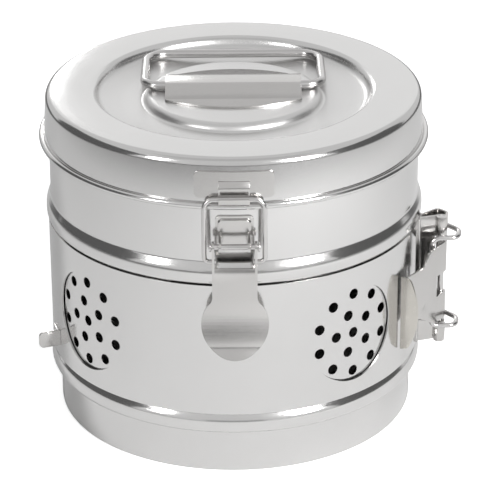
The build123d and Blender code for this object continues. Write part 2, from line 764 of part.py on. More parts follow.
thumb_root = clamp_point(leaf_length, knuckle_r - lever_sheet / 2)
thumb_azimuth = clamp_azimuth + degrees(atan2(thumb_root.Y, thumb_root.X))
leaf_plane = Plane(
    origin=clamp_world(clamp_point(0, 4 * knuckle_r)), x_dir=clamp_world(leaf_dir), z_dir=-clamp_world(leaf_out)
)
with BuildPart() as clamp_lever:
    with BuildSketch(lying(clamp_azimuth, lever_low)):
        with Locations((clamp_u, 0)):
            Circle(knuckle_r)
        with Locations(clamp_point((leaf_length + leaf_overrun) / 2, knuckle_r - lever_sheet / 2)):
            Rectangle(leaf_length + leaf_overrun, lever_sheet, rotation=leaf_angle)
        with Locations((clamp_u, 0)):
            Circle(clamp_pin_r + run_gap, mode=Mode.SUBTRACT)
    extrude(amount=lever_high - lever_low)
    # side view of the lever: full height at the barrel, a narrower waist, and a notch in the barrel
    with BuildSketch(leaf_plane):
        with BuildLine():
            FilletPolyline(
                (-leaf_overrun, lever_low),
                (low_shoulder, lever_low),
                (low_waist[0], lever_low + low_waist[1]),
                (leaf_length + leaf_overrun, lever_low + low_tip),
                (leaf_length + leaf_overrun, lever_high - high_tip),
                (high_waist[0], lever_high - high_waist[1]),
                (high_shoulder[0], lever_high - high_shoulder[1]),
                (-leaf_overrun, lever_high),
                radius=[0, low_bend, low_bend, 0, 0, high_bend, high_bend, 0],
                close=True,
            )
        make_face()
        with Locations((-leaf_overrun, (lever_low + lever_high) / 2 - notch_drop)):
            Rectangle(leaf_overrun + notch[0], notch[1], align=(Align.MIN, Align.CENTER), mode=Mode.SUBTRACT)
    extrude(amount=8 * knuckle_r, mode=Mode.INTERSECT)
    split(bisect_by=Plane(origin=(0, 0, 0), x_dir=outward(thumb_azimuth), z_dir=along(thumb_azimuth)))

with BuildPart() as clamp_thumb_plate:
    with BuildSketch(standing(thumb_azimuth)) as thumb_outline:
        back = band_r + thumb_clear
        front = band_r + thumb_out
        thumb_low = lever_low - thumb_drop
        thumb_high = lever_high - thumb_top_drop
        brow = (front - thumb_round[0], thumb_high)
        chin = (front - thumb_round[1], thumb_low + thumb_chin)
        with BuildLine():
            Line((back, thumb_low), (back, thumb_high))
            Line((back, thumb_high), brow)
            ThreePointArc(brow, (front, (thumb_low + thumb_high) / 2), chin)
            Line(chin, (back, thumb_low))
        make_face()
        fillet(thumb_outline.vertices().sort_by(Axis.X)[-2:], thumb_corner)
    extrude(amount=bracket_sheet)

sleeve_r = link_wire + run_gap + sleeve_wall
leg_near = clamp_point(sleeve_reach, knuckle_r - lever_sheet - sleeve_r)
with BuildPart() as clamp_sleeves:
    for low in (lever_low + sleeve_inset, lever_high - sleeve_inset - sleeve_length):
        with BuildSketch(lying(clamp_azimuth, low)):
            with Locations(leg_near):
                Circle(sleeve_r)
            with Locations(clamp_point(sleeve_reach, knuckle_r - lever_sheet - sleeve_r / 2)):
                Rectangle(2 * sleeve_r, sleeve_r, rotation=leaf_angle)
            with Locations(leg_near):
                Circle(link_wire + run_gap, mode=Mode.SUBTRACT)
        extrude(amount=sleeve_length)

with BuildPart() as clamp_link:
    nose = [(clamp_u + link_nose, -link_nose_half), (clamp_u + link_nose, link_nose_half)]
    leg_far = (clamp_u + link_leg[0], link_leg[1])
    plan = [(leg_near.X, leg_near.Y), *nose, leg_far]
    joint_z = lever_low + sleeve_inset + sleeve_length / 2
    bends = [
        (leg_near.X, leg_near.Y, joint_z + butt_gap / 2),
        *[(u, v, link_high) for u, v in plan],
        *[(u, v, link_low) for u, v in reversed(plan)],
        (leg_near.X, leg_near.Y, joint_z - butt_gap / 2),
    ]
    arm_bends = [link_root_corner, link_near_bend, link_far_bend, link_corner]
    with BuildLine(lying(clamp_azimuth)) as link_path:
        Polyline(*rounded(bends, [*arm_bends, *reversed(arm_bends)], bend_flat_count))
    with BuildSketch(Plane(origin=link_path.line @ 0, z_dir=link_path.line % 0)):
        Circle(link_wire)
    sweep(transition=Transition.RIGHT)

# ================================================================ one file for each piece
pieces = {
    "drum_shell": drum_shell,
    "drum_bottom": drum_bottom,
    "latch_base": latch_base,
    "latch_pin": latch_pin,
    "hinge_drum_leaf": hinge_drum_leaf,
    "hinge_pin": hinge_pin,
    "vent_band": vent_band,
    "band_tab": band_tab,
    "clamp_base": clamp_base,
    "clamp_pin": clamp_pin,
    "clamp_catch": clamp_catch,
    "clamp_lever": clamp_lever,
    "clamp_thumb_plate": clamp_thumb_plate,
    "clamp_sleeves": clamp_sleeves,
    "clamp_link": clamp_link,
    "lid_shell": lid_shell,
    "lid_keeper": lid_keeper,
    "handle_retainer": handle_retainer,
    "hinge_lid_leaf": hinge_lid_leaf,
    "lid_handle": lid_handle,
    "latch_lever": latch_lever,
    "latch_bail": latch_bail,
}
os.makedirs("parts", exist_ok=True)
for name, piece in pieces.items():
    piece.part.label = name
    export_step(piece.part, f"parts/{name}.step")
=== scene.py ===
import json
from math import cos, degrees, inf, pi, radians, sin, tan, tau

import bmesh
import bpy
from mathutils import Matrix, Vector

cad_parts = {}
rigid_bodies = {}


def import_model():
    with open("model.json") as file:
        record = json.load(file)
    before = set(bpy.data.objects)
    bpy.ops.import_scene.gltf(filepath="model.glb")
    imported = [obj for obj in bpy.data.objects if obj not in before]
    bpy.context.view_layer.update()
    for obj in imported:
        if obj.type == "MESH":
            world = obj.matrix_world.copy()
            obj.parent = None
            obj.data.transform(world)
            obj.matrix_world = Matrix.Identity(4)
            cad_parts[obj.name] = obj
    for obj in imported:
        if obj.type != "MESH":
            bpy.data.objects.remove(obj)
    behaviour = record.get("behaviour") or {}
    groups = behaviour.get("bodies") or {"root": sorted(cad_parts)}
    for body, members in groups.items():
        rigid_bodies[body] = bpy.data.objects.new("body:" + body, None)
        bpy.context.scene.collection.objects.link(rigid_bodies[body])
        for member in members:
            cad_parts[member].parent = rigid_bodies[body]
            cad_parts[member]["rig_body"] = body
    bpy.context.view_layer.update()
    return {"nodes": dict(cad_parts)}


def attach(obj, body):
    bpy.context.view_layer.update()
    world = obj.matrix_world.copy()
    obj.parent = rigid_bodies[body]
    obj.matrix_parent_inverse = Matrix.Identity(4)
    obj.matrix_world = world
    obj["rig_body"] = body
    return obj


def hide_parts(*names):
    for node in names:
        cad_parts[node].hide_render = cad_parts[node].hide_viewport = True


# A round stainless dressing drum for a steam sterilizer. The spun shells, the vent band and the bent wires are
# made here with fine surfaces, and the pressed brackets are softened copies of their CAD nodes.
# Azimuth is measured from the front (-Y) towards +X. Sizes are in millimetres and become metres in the meshes,
# but for the light and the camera, which are in metres.

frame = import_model()
MM = 0.001
ROUND_STEPS = 288  # steps of a full turn on the large shells
PAN_STEPS = 144
UP = Vector((0, 0, 1))

# ---------------------------------------------------------------- drum
WALL = 0.8
FOOT_R, FOOT_TURN_IN, FOOT_HEIGHT = 78.4, 2.0, 19.2
WALL_R, BEAD_R = 80.4, 82.3
LOWER_BEAD_LOW, LOWER_BEAD_HIGH = 20.4, 26.2
SEAT_LOW, SEAT_HIGH = 28.9, 89.3
UPPER_BEAD_LOW, UPPER_BEAD_HIGH = 90.8, 95.9
NECK_LOW, NECK_HIGH = 99.6, 124.7
MOUTH_R, MOUTH_LOW, MOUTH_HIGH = 79.2, 126.7, 140.7
PAN_TOP, PAN_FLANGE, PAN_CORNER = 18.6, 11.0, 2.0

# ---------------------------------------------------------------- vents and vent band
VENT_R = 2.35
VENT_AZIMUTHS = (38.5, 128.5, 218.5, 308.5)
VENT_Z = 58.2
VENT_RINGS = ((9.0, 5, 180), (18.1, 10, 90))  # radius, holes and first angle of each ring round the middle hole
BAND_R = 81.6
BAND_SHEET = 0.8
BAND_LOW, BAND_HIGH = 29.05, 89.15
BAND_ROWS = (36.0, 44.0, 52.0, 60.0, 68.0, 76.0, 82.0)  # heights that split the strip into short faces
BAND_START, BAND_TURN = 89.76, 354.74
WINDOW_R, WINDOW_PUNCH = 22.0, 20.0

# ---------------------------------------------------------------- lid
LID_WALL = 0.9
RIM_Z, RIM_R, RIM_ROLL = 126.1, 83.1, 1.4
SKIRT_LOW_R, SKIRT_HIGH_R = 82.4, 81.1
LID_TOP = 146.0
DISH_R, DISH_FLOOR_R, DISH_FLOOR = 60.0, 58.2, 141.9
DISH_BEND_R, DISH_BEND = 51.0, 140.65
DISC_R, DISC_FOOT_R, DISC_FOOT, DISC_TOP = 37.2, 38.6, 140.0, 143.3

# ---------------------------------------------------------------- handle and its retainer
HANDLE_WIRE = 1.9
HANDLE_HALF, HANDLE_REACH = 38.5, 42.705
HANDLE_Y, HANDLE_Z, HANDLE_TILT = 2.3, 145.35, 2.295
HANDLE_ROOT_CORNER, HANDLE_CORNER = 7.0, 10.0
CHANNEL_SPAN = 3.6, 13.3  # flanks of the retainer's channel, from the handle's bar
CHANNEL_SWELL = 0.8

# ---------------------------------------------------------------- front latch
BAIL_WIRE = 1.0
BAIL_HALF, BAIL_END = 12.4, 7.6
BAIL_PIVOT, BAIL_BAR = (-86.6, 103.0), (-85.4, 130.089)
BAIL_TOP_CORNER, BAIL_END_CORNER = 4.0, 2.2
PADDLE_SPAN = 59.5, 98.0  # heights between which the latch's paddle is dished
PADDLE_HOLLOW = 2.8

# ---------------------------------------------------------------- band clamp
LINK_WIRE = 1.1
CLAMP_AZIMUTH = 81.8
LINK_PLAN = ((88.12, -6.088), (99.05, -3.85), (99.05, 3.85), (87.0, 14.0))  # outward and along, near leg first
LINK_LOW, LINK_HIGH, LINK_JOINT, LINK_SPLIT = 38.45, 81.15, 48.25, 0.4
LINK_CORNERS = (3.6, 3.6, 5.0, 4.5)

# ---------------------------------------------------------------- pressed pieces
MERGE = 1e-7  # metres
FLAT_ANGLE = 0.6  # degrees under which two faces count as one flat
PRESSED_CREASE = 32.0

# ---------------------------------------------------------------- finishes
LINE_SCALE, CLOUD_SCALE, SPECK_SCALE = 2600.0, 38.0, 900.0
SCRATCH_TURN, SCRATCH_STRETCH = (0.4, 0.9, 0.6), (40.0, 900.0, 300.0)
SMUDGE = 0.02

# ---------------------------------------------------------------- studio and camera, in metres
ROOM_LIGHT, ROOM_SEEN = 0.25, 0.74
TABLE_EDGE = 0.48, 0.72  # where the white table falls away into the room
TABLE_WHITE, TABLE_DARK = 0.8, 0.3
TABLE_LIFT = 0.62
STUDIO_MIDDLE = Vector((0, 0, 0.07))
CAMERA_ELEVATION, CAMERA_ROLL = 0.4394, -0.0079  # radians
CAMERA_AWAY, CAMERA_AIM = 1.1718, Vector((0, 0, 0.06753))
CAMERA_LENS, CAMERA_SHIFT = 189.94, 0.0309


# ================================================================ materials
def wire_up(tree, kind, inputs=None, **settings):
    """Adds a shader node, sets it and links its inputs."""
    node = tree.nodes.new(kind)
    for key, value in settings.items():
        setattr(node, key, value)
    for socket, value in (inputs or {}).items():
        if isinstance(value, bpy.types.NodeSocket):
            tree.links.new(value, node.inputs[socket])
        else:
            node.inputs[socket].default_value = value
    return node


def math_node(tree, operation, *values):
    return wire_up(tree, "ShaderNodeMath", dict(enumerate(values)), operation=operation).outputs[0]


def remap(tree, value, low, high, out_low, out_high):
    limits = {"Value": value, "From Min": low, "From Max": high, "To Min": out_low, "To Max": out_high}
    return wire_up(tree, "ShaderNodeMapRange", limits).outputs["Result"]


def spread(tree, pattern, out_low, out_high, half=0.2):
    """Stretches the middle of a noise pattern over a range."""
    return remap(tree, pattern, 0.5 - half, 0.5 + half, out_low, out_high)


def noise(tree, vector, scale, detail, rough):
    values = {"Vector": vector, "Scale": scale, "Detail": detail, "Roughness": rough}
    return wire_up(tree, "ShaderNodeTexNoise", values).outputs["Fac"]


def grey_of(tree, value):
    return wire_up(tree, "ShaderNodeCombineColor", dict.fromkeys(("Red", "Green", "Blue"), value)).outputs[0]


def from_axis(tree, x, y):
    """Distance from the drum's axis."""
    squares = math_node(tree, "ADD", math_node(tree, "MULTIPLY", x, x), math_node(tree, "MULTIPLY", y, y))
    return math_node(tree, "POWER", squares, 0.5)


def object_place(tree):
    return wire_up(tree, "ShaderNodeTexCoord").outputs["Object"]


def empty_material(name):
    material = bpy.data.materials.new(name)
    material.use_nodes = True
    material.node_tree.nodes.clear()
    return material


def polishing_lines(tree, place, grain):
    """Vector whose noise runs in fine lines the way the piece was polished."""
    x, y, z = wire_up(tree, "ShaderNodeSeparateXYZ", {0: place}).outputs
    if grain == "turned":
        parts = (math_node(tree, "MULTIPLY", math_node(tree, "ARCTAN2", y, x), 0.02), from_axis(tree, x, y), z)
    elif grain == "upright":
        parts = (x, y, math_node(tree, "MULTIPLY", z, 0.06))
    else:
        parts = (math_node(tree, "MULTIPLY", x, 0.08), math_node(tree, "MULTIPLY", y, 0.6), z)
    return wire_up(tree, "ShaderNodeCombineXYZ", dict(enumerate(parts))).outputs[0]


def steel(name, tint, roughness, grain, line_depth=0.000004, satin=0.0):
    """Stainless steel: polishing lines, faint smudges and fine scratches, and a satin dish where one is asked for."""
    material = bpy.data.materials.new(name)
    material.use_nodes = True
    tree = material.node_tree
    shader = tree.nodes["Principled BSDF"]
    shader.inputs["Metallic"].default_value = 1.0
    place = object_place(tree)
    lines = noise(tree, polishing_lines(tree, place, grain), LINE_SCALE, 4.0, 0.6)
    clouds = noise(tree, place, CLOUD_SCALE, 4.0, 0.6)
    specks = noise(tree, place, SPECK_SCALE, 2.0, 0.5)
    scratch_way = wire_up(
        tree, "ShaderNodeMapping", {"Vector": place, "Rotation": SCRATCH_TURN, "Scale": SCRATCH_STRETCH}
    ).outputs[0]
    scratches = remap(tree, noise(tree, scratch_way, 1.0, 5.0, 0.7), 0.66, 0.74, 0.0, 1.0)
    shade = math_node(tree, "MULTIPLY", spread(tree, clouds, 1.0 - SMUDGE, 1.0 + SMUDGE * 0.4),
                      spread(tree, lines, 0.985, 1.01))
    colour = wire_up(
        tree, "ShaderNodeMix", {0: 1.0, 6: (*tint, 1.0), 7: grey_of(tree, shade)}, data_type="RGBA",
        blend_type="MULTIPLY",
    ).outputs[2]
    tree.links.new(colour, shader.inputs["Base Color"])
    rough = math_node(tree, "ADD", spread(tree, clouds, roughness - 0.015, roughness + 0.025),
                      spread(tree, lines, -0.012, 0.016))
    rough = math_node(tree, "ADD", rough, math_node(tree, "MULTIPLY", scratches, 0.05))
    rough = math_node(tree, "ADD", rough, spread(tree, specks, -0.01, 0.02, half=0.15))
    if satin:
        x, y, _ = wire_up(tree, "ShaderNodeSeparateXYZ", {0: place}).outputs
        dish = remap(tree, from_axis(tree, x, y), (DISH_R - 2) * MM, (DISH_R + 1) * MM, satin, 0.0)
        rough = math_node(tree, "ADD", rough, dish)
    tree.links.new(rough, shader.inputs["Roughness"])
    height = math_node(tree, "SUBTRACT", lines, math_node(tree, "MULTIPLY", scratches, 0.4))
    bump = wire_up(tree, "ShaderNodeBump", {"Height": height, "Distance": line_depth, "Strength": 0.5})
    tree.links.new(bump.outputs[0], shader.inputs["Normal"])
    return material


FINISHES = {
    "shell_steel": steel("shell_steel", (0.67, 0.665, 0.66), 0.13, "turned"),
    "lid_satin": steel("lid_satin", (0.67, 0.665, 0.66), 0.13, "turned", satin=0.2),
    # The inside finish is the same steel with its colour painted darker, as painted shade for the dim inside of the
    # drum, pan and lid.
    "inside_steel_painted_shade": steel("inside_steel_painted_shade", (0.32, 0.315, 0.31), 0.6, "turned"),
    "band_steel": steel("band_steel", (0.67, 0.665, 0.66), 0.14, "turned"),
    "bracket_steel": steel("bracket_steel", (0.58, 0.57, 0.56), 0.17, "level"),
    "thumb_steel": steel("thumb_steel", (0.58, 0.56, 0.52), 0.24, "upright", line_depth=0.000002),
    "wire_steel": steel("wire_steel", (0.6, 0.59, 0.585), 0.2, "upright", line_depth=0.000002),
}


# ================================================================ making meshes
def finish_piece(name, bm, body, slot, nodes=()):
    """Turns a bmesh in millimetres into a finished piece that rides on its body."""
    bmesh.ops.scale(bm, vec=(MM, MM, MM), verts=bm.verts)
    mesh = bpy.data.meshes.new(name)
    bm.to_mesh(mesh)
    bm.free()
    place_piece(name, mesh, body, slot, nodes)


def place_piece(name, mesh, body, slot, nodes=(), crease=35.0):
    """Finished piece from a mesh in metres. A sheet that already has a finish for each side keeps both."""
    mesh.shade_smooth()
    mesh.set_sharp_from_angle(angle=radians(crease))
    if len(mesh.materials) < 2:
        mesh.materials.clear()
        mesh.materials.append(FINISHES[slot])
    piece = bpy.data.objects.new(name, mesh)
    bpy.context.scene.collection.objects.link(piece)
    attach(piece, body)
    if nodes:
        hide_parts(*nodes)


def loose_object(name, bm):
    mesh = bpy.data.meshes.new(name)
    bm.to_mesh(mesh)
    bm.free()
    made = bpy.data.objects.new(name, mesh)
    bpy.context.scene.collection.objects.link(made)
    return made


def applied(blank):
    """Mesh of a loose object with its modifiers applied."""
    bpy.context.view_layer.update()
    made = bpy.data.meshes.new_from_object(blank.evaluated_get(bpy.context.evaluated_depsgraph_get()))
    bpy.data.objects.remove(blank)
    return made


def chain(bm, points, rounds=()):
    """Open line of (radius, height) points in the plane of azimuth 90, rounded at (corner, radius, steps)."""
    verts = [bm.verts.new((r, 0.0, z)) for r, z in points]
    for pair in zip(verts, verts[1:]):
        bm.edges.new(pair)
    for index, radius, segments in rounds:
        before, corner, after = (Vector(points[i]) for i in (index - 1, index, index + 1))
        turn = (corner - before).angle(after - corner)
        bmesh.ops.bevel(
            bm, geom=[verts[index]], offset=radius * tan(turn / 2), offset_type="OFFSET", segments=segments,
            profile=0.5, affect="VERTICES", material=-1, clamp_overlap=True,
        )


def turn_full(bm, steps=ROUND_STEPS):
    """Spins a line round the drum's axis and closes the seam and the pole."""
    bmesh.ops.spin(bm, geom=[*bm.verts, *bm.edges], cent=(0, 0, 0), axis=UP, angle=tau, steps=steps, use_merge=True)
    bmesh.ops.remove_doubles(bm, verts=bm.verts, dist=0.0005)
    bmesh.ops.dissolve_degenerate(bm, edges=bm.edges, dist=0.0001)


def outwards(bm):
    """Points every face of an open turned sheet away from the axis or up."""
    bmesh.ops.recalc_face_normals(bm, faces=bm.faces)
    away = sum(f.calc_area() * (f.normal.dot(Vector((*f.calc_center_median().xy, 0.0)).normalized())
                                + f.normal.z) for f in bm.faces)
    if away < 0:
        bmesh.ops.reverse_faces(bm, faces=bm.faces)


def sheet_metal(bm, sheet, tool=None, sides=("shell_steel", "inside_steel_painted_shade")):
    """Mesh of an open sheet given its thickness on the inside, with punches cut through it."""
    bmesh.ops.scale(bm, vec=(MM, MM, MM), verts=bm.verts)
    blank = loose_object("blank", bm)
    thick = blank.modifiers.new("sheet", "SOLIDIFY")
    thick.thickness, thick.offset, thick.use_rim, thick.material_offset = sheet * MM, -1.0, True, 1
    # The second side's inside finish is painted darker, as painted shade for the inside of the drum and lid.
    for side in sides:
        blank.data.materials.append(FINISHES[side])
    if tool:
        cut = blank.modifiers.new("punch", "BOOLEAN")
        cut.operation, cut.solver, cut.object = "DIFFERENCE", "EXACT", tool
    made = applied(blank)
    if tool:
        bpy.data.objects.remove(tool)
    return made


def outward_ways(azimuth):
    """Level vectors straight out of the drum and along its wall at an azimuth."""
    a = radians(azimuth)
    return Vector((sin(a), -cos(a), 0)), Vector((cos(a), sin(a), 0))


def punches(places, radius, length, segments):
    """Round punches that stand across a curved sheet at (azimuth, radius, height), all in metres."""
    bm = bmesh.new()
    for azimuth, reach, height in places:
        out, side = outward_ways(azimuth)
        turn = Matrix((side, UP, out)).transposed().to_4x4()
        bmesh.ops.create_cone(
            bm, cap_ends=True, segments=segments, radius1=radius, radius2=radius, depth=length,
            matrix=Matrix.Translation(out * reach + UP * height) @ turn,
        )
    return loose_object("punches", bm)


def true_round(mesh, low=-inf, high=inf):
    """Gives the cut parts of a curved sheet the shading of a true cylinder or cone."""
    corners = [(0, 0, 0)] * len(mesh.loops)
    for face in mesh.polygons:
        out = Vector((*face.center.xy, 0)).normalized()
        side = face.normal.dot(out)
        if low < face.center.z < high and abs(side) > 0.995:
            rise = Vector((0, 0, face.normal.z))
            for loop in face.loop_indices:
                spot = mesh.vertices[mesh.loops[loop].vertex_index].co
                away = Vector((*spot.xy, 0)).normalized() * (1 if side > 0 else -1)
                corners[loop] = tuple((away + rise).normalized())
    mesh.normals_split_custom_set(corners)


# ================================================================ drum
def make_drum_shell():
    """Foot skirt, two rolled beads, band seat, neck and mouth in one spun sheet, with its steam vents."""
    bm = bmesh.new()
    points = [
        (FOOT_R - FOOT_TURN_IN, 0), (FOOT_R, 0), (FOOT_R, FOOT_HEIGHT),
        (BEAD_R, LOWER_BEAD_LOW), (BEAD_R, LOWER_BEAD_HIGH), (WALL_R, SEAT_LOW),
        (WALL_R, SEAT_HIGH), (BEAD_R, UPPER_BEAD_LOW), (BEAD_R, UPPER_BEAD_HIGH), (WALL_R, NECK_LOW),
        (WALL_R, NECK_HIGH), (MOUTH_R, MOUTH_LOW), (MOUTH_R, MOUTH_HIGH),
    ]
    rounds = [
        (11, 1.0, 3), (10, 1.0, 3), (9, 2.4, 6), (8, 6.5, 10), (7, 2.4, 7), (6, 0.5, 3),
        (5, 0.5, 3), (4, 5.0, 10), (3, 2.6, 7), (2, 1.2, 5), (1, 0.8, 4),
    ]
    chain(bm, points, rounds)
    turn_full(bm)
    outwards(bm)
    spots = [(0.0, 0.0)]
    for ring_r, count, start in VENT_RINGS:
        angles = [radians(start + 360 * i / count) for i in range(count)]
        spots += [(ring_r * cos(angle), ring_r * sin(angle)) for angle in angles]
    places = [(a + side / WALL_R * 180 / pi, (WALL_R - WALL / 2) * MM, (VENT_Z + rise) * MM)
              for a in VENT_AZIMUTHS for side, rise in spots]
    mesh = sheet_metal(bm, WALL, punches(places, VENT_R * MM, 4 * WALL * MM, 24))
    place_piece("drum_shell_spun", mesh, "drum", "shell_steel", ["drum_shell"])
    true_round(mesh, (SEAT_LOW + 0.6) * MM, (SEAT_HIGH - 0.6) * MM)


def make_drum_bottom():
    """Bottom pan pressed into the foot, its flange down."""
    bm = bmesh.new()
    r = FOOT_R - WALL
    chain(bm, [(r, PAN_TOP - PAN_FLANGE), (r, PAN_TOP), (0, PAN_TOP)], [(1, PAN_CORNER, 6)])
    turn_full(bm, PAN_STEPS)
    outwards(bm)
    mesh = sheet_metal(bm, WALL, sides=("inside_steel_painted_shade", "shell_steel"))
    place_piece("drum_bottom_pan", mesh, "drum", "shell_steel", ["drum_bottom"])


def make_vent_band():
    """Sliding strip with a round window over each group of vents."""
    bm = bmesh.new()
    rises = [BAND_LOW, BAND_LOW + 1.0, *BAND_ROWS, BAND_HIGH - 1.0, BAND_HIGH]
    chain(bm, [(BAND_R, z) for z in rises])
    start = radians(BAND_START - 90)
    bmesh.ops.rotate(bm, verts=bm.verts, cent=(0, 0, 0), matrix=Matrix.Rotation(start, 3, "Z"))
    bmesh.ops.spin(
        bm, geom=[*bm.verts, *bm.edges], cent=(0, 0, 0), axis=UP, angle=radians(BAND_TURN),
        steps=ROUND_STEPS, use_merge=False,
    )
    outwards(bm)
    windows = punches([(a, BAND_R * MM, VENT_Z * MM) for a in VENT_AZIMUTHS], WINDOW_R * MM, WINDOW_PUNCH * MM, 96)
    mesh = sheet_metal(bm, BAND_SHEET, windows, ("band_steel", "band_steel"))
    place_piece("vent_band_strip", mesh, "vent_band", "band_steel", ["vent_band"])
    true_round(mesh, (BAND_LOW - 1) * MM, (BAND_HIGH + 1) * MM)


# ================================================================ lid
def make_lid_shell():
    """Drawn lid: leaning skirt, dished top and raised centre disc; the rolled rim is made as a piece of its own."""
    bm = bmesh.new()
    points = [
        (SKIRT_LOW_R, RIM_Z), (SKIRT_HIGH_R, LID_TOP), (DISH_R, LID_TOP), (DISH_FLOOR_R, DISH_FLOOR),
        (DISH_BEND_R, DISH_BEND), (DISC_FOOT_R, DISC_FOOT), (DISC_R, DISC_TOP), (0, DISC_TOP),
    ]
    chain(bm, points, [(6, 3.4, 12), (5, 2.9, 10), (4, 70.0, 8), (3, 3.6, 10), (2, 3.2, 10), (1, 3.5, 12)])
    turn_full(bm)
    outwards(bm)
    mesh = sheet_metal(bm, LID_WALL, sides=("lid_satin", "inside_steel_painted_shade"))
    place_piece("lid_shell_drawn", mesh, "lid", "shell_steel", ["lid_shell"])


def make_lid_rim():
    """Wired edge: the skirt's sheet rolled outwards into a tube."""
    bm = bmesh.new()
    upright = Matrix.Rotation(pi / 2, 4, "X")
    bmesh.ops.create_circle(bm, segments=24, radius=RIM_ROLL, matrix=Matrix.Translation((RIM_R, 0, RIM_Z)) @ upright)
    turn_full(bm)
    bmesh.ops.recalc_face_normals(bm, faces=bm.faces)
    finish_piece("lid_rim_roll", bm, "lid", "shell_steel")


# ================================================================ bent wires
def bent_wire(bm, start, heading, across, wire_r, moves, segments=20, closed=False):
    """Round wire: a move that is a number is extruded, and a bend of (axis, radius, degrees) is spun."""
    place, heading = Vector(start), Vector(heading).normalized()
    across = Vector(across).normalized()
    turn = Matrix((across, across.cross(heading), heading)).transposed().to_4x4()
    ring = bmesh.ops.create_circle(bm, segments=segments, radius=wire_r, cap_ends=not closed,
                                   matrix=Matrix.Translation(place) @ turn)["verts"]
    if closed:
        edges = list({e for v in ring for e in v.link_edges})
    else:
        edges = list(ring[0].link_faces[0].edges)
    for move in moves:
        if isinstance(move, (int, float)):
            made = bmesh.ops.extrude_edge_only(bm, edges=edges)["geom"]
            ring = {g for g in made if isinstance(g, bmesh.types.BMVert)}
            edges = [g for g in made if isinstance(g, bmesh.types.BMEdge) and all(v in ring for v in g.verts)]
            bmesh.ops.translate(bm, vec=heading * move, verts=list(ring))
            place = place + heading * move
        else:
            axis, radius, degrees_turned = move
            axis = Vector(axis).normalized()
            angle = radians(degrees_turned)
            centre = place + axis.cross(heading) * radius
            made = bmesh.ops.spin(
                bm, geom=edges, cent=centre, axis=axis, angle=angle, steps=max(4, round(abs(degrees_turned) / 7)),
                use_merge=False,
            )["geom_last"]
            edges = [g for g in made if isinstance(g, bmesh.types.BMEdge)]
            spun = Matrix.Rotation(angle, 3, axis)
            place = centre + spun @ (place - centre)
            heading = spun @ heading
    if closed:
        bmesh.ops.remove_doubles(bm, verts=bm.verts, dist=0.02)
    else:
        bmesh.ops.edgeloop_fill(bm, edges=edges)
    bmesh.ops.recalc_face_normals(bm, faces=bm.faces)


def wire_through(bm, points, radii, wire_r):
    """Round wire from point to point, bent to a radius at each corner."""
    runs = [(b - a) for a, b in zip(points, points[1:])]
    ways = [run.normalized() for run in runs]
    bends = [w.angle(v) for w, v in zip(ways, ways[1:])]
    cuts = [0.0, *(r * tan(b / 2) for r, b in zip(radii, bends)), 0.0]
    moves = []
    for i, run in enumerate(runs):
        moves.append(run.length - cuts[i] - cuts[i + 1])
        if i < len(bends):
            moves.append((ways[i].cross(ways[i + 1]), radii[i], degrees(bends[i])))
    bent_wire(bm, points[0], ways[0], ways[0].orthogonal(), wire_r, moves)


def make_handle():
    """Folding handle: a closed loop whose bar lies in the retainer."""
    tilt = radians(HANDLE_TILT)
    away = Vector((0, cos(tilt), -sin(tilt)))
    side = Vector((1, 0, 0))
    normal = side.cross(away)
    near = HANDLE_HALF - HANDLE_ROOT_CORNER
    far = HANDLE_HALF - HANDLE_CORNER
    leg = HANDLE_REACH - HANDLE_ROOT_CORNER - HANDLE_CORNER
    root, corner = (normal, HANDLE_ROOT_CORNER, 90), (normal, HANDLE_CORNER, 90)
    bm = bmesh.new()
    bent_wire(
        bm, (0, HANDLE_Y, HANDLE_Z), side, away, HANDLE_WIRE,
        [near, root, leg, corner, 2 * far, corner, leg, root, near], segments=28, closed=True,
    )
    finish_piece("lid_handle_wire", bm, "handle", "wire_steel", ["lid_handle"])


def make_bail():
    """Wire bail of the front latch, its two ends in the lever's ears."""
    plan = [(BAIL_END, BAIL_PIVOT), (BAIL_HALF, BAIL_PIVOT), (BAIL_HALF, BAIL_BAR)]
    points = [Vector((-x, *spot)) for x, spot in plan] + [Vector((x, *spot)) for x, spot in reversed(plan)]
    bm = bmesh.new()
    wire_through(bm, points, [BAIL_END_CORNER, BAIL_TOP_CORNER, BAIL_TOP_CORNER, BAIL_END_CORNER], BAIL_WIRE)
    finish_piece("latch_bail_wire", bm, "latch_bail", "wire_steel", ["latch_bail"])


def make_link():
    """Wire link of the band clamp, its ends meeting inside the lower sleeve."""
    out, side = outward_ways(CLAMP_AZIMUTH)
    plan = [out * u + side * v for u, v in LINK_PLAN]
    points = [
        plan[0] + UP * (LINK_JOINT + LINK_SPLIT / 2), *(p + UP * LINK_HIGH for p in plan),
        *(p + UP * LINK_LOW for p in reversed(plan)), plan[0] + UP * (LINK_JOINT - LINK_SPLIT / 2),
    ]
    bm = bmesh.new()
    wire_through(bm, points, [*LINK_CORNERS, *reversed(LINK_CORNERS)], LINK_WIRE)
    finish_piece("clamp_link_wire", bm, "clamp_link", "wire_steel", ["clamp_link"])


# ================================================================ pressed pieces from their CAD nodes
def pressed(node, slot, edge=0.12, shape=None):
    """Merged copy of a CAD node with its flats cleaned up and its cut edges broken.

    It is given a new shape, or else its curved plate is shaded round.
    """
    bm = bmesh.new()
    bm.from_mesh(frame["nodes"][node].data)
    bmesh.ops.remove_doubles(bm, verts=bm.verts, dist=MERGE)
    bmesh.ops.dissolve_limit(
        bm, angle_limit=radians(FLAT_ANGLE), verts=bm.verts, edges=bm.edges, delimit={"NORMAL"}
    )
    if shape:
        shape(bm)
    blank = loose_object("blank", bm)
    soft = blank.modifiers.new("broken_edges", "BEVEL")
    soft.width, soft.segments, soft.limit_method = edge * MM, 2, "ANGLE"
    soft.angle_limit = radians(PRESSED_CREASE)
    soft.use_clamp_overlap = True
    soft.miter_outer = "MITER_ARC"
    mesh = applied(blank)
    place_piece(node + "_pressed", mesh, frame["nodes"][node]["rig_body"], slot, [node], PRESSED_CREASE)
    if not shape:
        true_round(mesh)


